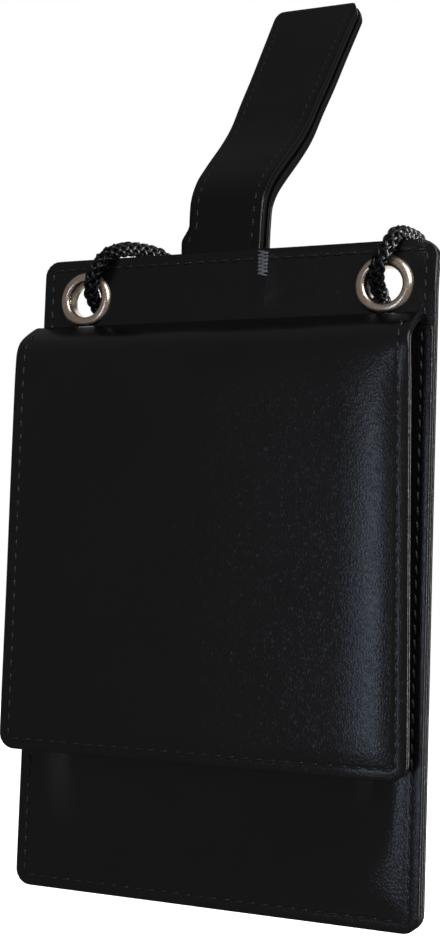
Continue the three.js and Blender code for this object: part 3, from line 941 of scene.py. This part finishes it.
FREE_FROM, FREE_TO = ROOT_RUN + 2 * MM, FOLD_RUN - 5 * MM
BACK_FROM, BACK_TO = FOLD_RUN + 5 * MM, STRAP_LENGTH - 2.4 * MM
rows = []
for side in (-1, 1):
    rows += strap_row(side, FREE_FROM, FREE_TO, 30)
    rows += strap_row(side, BACK_FROM, BACK_TO, 40)
tail_half = 0.5 * WIDE * (1 - STRAP_ROW / STRAP_ROOT_HALF)
for row in (BACK_TO, BACK_TO - 6 * MM):
    rows.append((outer, 1, (-tail_half, row), (tail_half, row)))
sew("stitch_strap", rows, length=2.4 * MM, width=0.62 * MM, proud=-0.16 * MM)

# %% [markdown]
# ## The tack
# A dense bar of thread holds the strap where it takes the most pull, at its right root. It is a close zigzag:
# many short stitches side by side, crossed by a few long ones. Its thread is coloured a pale bluish grey, a
# painted glint that stands in for the light the tack catches.

# %% Tack thread with a painted glint
painted_glint, tree, shader = finish_material("tack_thread_painted_glint")
coords = add(tree, "ShaderNodeTexCoord").outputs["Object"]
patch = add(tree, "ShaderNodeTexNoise", {"Vector": coords, "Scale": 700}).outputs["Fac"]
# The pale bluish tone is a painted glint, much lighter than the black thread of the seams.
tone = add(
    tree, "ShaderNodeMix",
    {"Factor": patch, "A": (0.03, 0.03, 0.034, 1), "B": (0.3, 0.31, 0.35, 1)}, data_type="RGBA",
)
tree.links.new(tone.outputs["Result"], shader.inputs["Base Color"])
shader.inputs["Roughness"].default_value = 0.2
print("made", painted_glint.name)

# %% Tack
TACK_X = (7.6 * MM, 10.8 * MM)
TACK_Z = (4.0 * MM, 9.6 * MM)
bm = bmesh.new()
tack_middle = sum(TACK_X) / 2
tack_count = 13
for i in range(tack_count):
    z = TACK_Z[0] + (TACK_Z[1] - TACK_Z[0]) * i / (tack_count - 1)
    tilt = math.radians(16 if i % 2 else -16)
    along = Vector((math.cos(tilt), 0, math.sin(tilt)))
    middle = panel_front(tack_middle, z) + Vector((0, -0.25 * MM, 0))
    stitch(bm, middle, along, Vector((0, -1, 0)), TACK_X[1] - TACK_X[0], 0.62 * MM)
for x in (TACK_X[0] + 0.7 * MM, tack_middle, TACK_X[1] - 0.7 * MM):
    middle = panel_front(x, sum(TACK_Z) / 2) + Vector((0, -0.1 * MM, 0))
    stitch(bm, middle, Vector((0, 0, 1)), Vector((0, -1, 0)), TACK_Z[1] - TACK_Z[0], 0.5 * MM)
mesh = bpy.data.meshes.new("tack")
bm.to_mesh(mesh)
bm.free()
keep("strap_tack", mesh, painted_glint)

# %% [markdown]
# ## Stage and light
# The pouch stands before plain white, so the world is white to the camera but dim to the leather: black
# leather mirrors what is in front of it, and a bright room would turn it grey. The room is dimmest behind,
# where the cut sides look. A tall soft light in front draws the sheen down the flap's near side. The others,
# above, at the right and behind, stand where no flat face mirrors them to the camera, so they pick out the
# rims, the cord and the eyelets.

# %% Floor and world
FLOOR_DROP = 30 * MM
bm = bmesh.new()
bmesh.ops.create_grid(bm, x_segments=1, y_segments=1, size=6)
bmesh.ops.translate(bm, verts=bm.verts[:], vec=(0, 0, CAD_LOW.z - FLOOR_DROP))
mesh = bpy.data.meshes.new("floor")
bm.to_mesh(mesh)
bm.free()
floor = bpy.data.objects.new("floor", mesh)
bpy.context.collection.objects.link(floor)
pale, tree, shader = finish_material("pale_floor")
shader.inputs["Base Color"].default_value = (0.9, 0.9, 0.9, 1)
shader.inputs["Roughness"].default_value = 0.9
shader.inputs["Emission Color"].default_value = (1, 1, 1, 1)
shader.inputs["Emission Strength"].default_value = 0.9
mesh.materials.append(pale)
floor.visible_diffuse = False
floor.visible_glossy = False
floor.visible_shadow = False
floor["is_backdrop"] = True

world = bpy.data.worlds.new("studio")
world.use_nodes = True
bpy.context.scene.world = world
tree = world.node_tree
tree.nodes.clear()
seen = add(tree, "ShaderNodeLightPath").outputs["Is Camera Ray"]
way = add(tree, "ShaderNodeTexCoord").outputs["Generated"]
behind = add(tree, "ShaderNodeSeparateXYZ", {"Vector": way}).outputs["Y"]
level = add(
    tree, "ShaderNodeMapRange",
    {"Value": behind, "From Min": -0.2, "From Max": 0.7, "To Min": 0.155, "To Max": 0.08},
).outputs["Result"]
room = add(tree, "ShaderNodeBackground", {"Color": (1.0, 0.96, 0.97, 1), "Strength": level}).outputs[0]
white = add(tree, "ShaderNodeBackground", {"Color": (1, 1, 1, 1), "Strength": 1.0}).outputs[0]
mix = add(tree, "ShaderNodeMixShader", {0: seen, 1: room, 2: white}).outputs[0]
add(tree, "ShaderNodeOutputWorld", {"Surface": mix})
bpy.context.scene.view_settings.view_transform = "Standard"
print("floor at", round(CAD_LOW.z - FLOOR_DROP, 4))

# %% Lights
LIGHTS = [
    # name, place, aim, width, height, watts, colour
    ("sheen", (-0.02, -0.757, -0.105), (0.04, 0, -0.1), 0.1, 0.33, 0.35, (0.62, 0.75, 1.0)),
    ("key", (0.55, -0.5, 0.45), (0, 0, 0), 0.5, 0.5, 4.0, (1.0, 1.0, 1.0)),
    ("right", (0.74, 0.3, -0.05), (0, 0, -0.05), 0.2, 0.8, 18.0, (1.0, 1.0, 1.0)),
    ("back", (-0.28, 0.86, 0.1), (0, 0, -0.03), 0.55, 0.9, 1.6, (1.0, 1.0, 1.0)),
]
for name, at, aim, width, height, watts, colour in LIGHTS:
    lamp = bpy.data.lights.new(name, "AREA")
    lamp.shape = "RECTANGLE"
    lamp.size, lamp.size_y, lamp.energy, lamp.color = width, height, watts, colour
    holder = bpy.data.objects.new(name, lamp)
    holder.location = at
    holder.visible_camera = False
    holder.rotation_euler = (Vector(aim) - Vector(at)).to_track_quat("-Z", "Y").to_euler()
    bpy.context.collection.objects.link(holder)
print(len(LIGHTS), "lights")

# %% [markdown]
# ## Size
# The dressed pouch has to keep the imported model's size, so both boxes are written down and compared.

# %% Write the sizes
low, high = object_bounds()
print("grown by mm:", [round(1000 * v, 2) for v in (*(CAD_LOW - low), *(high - CAD_HIGH))])
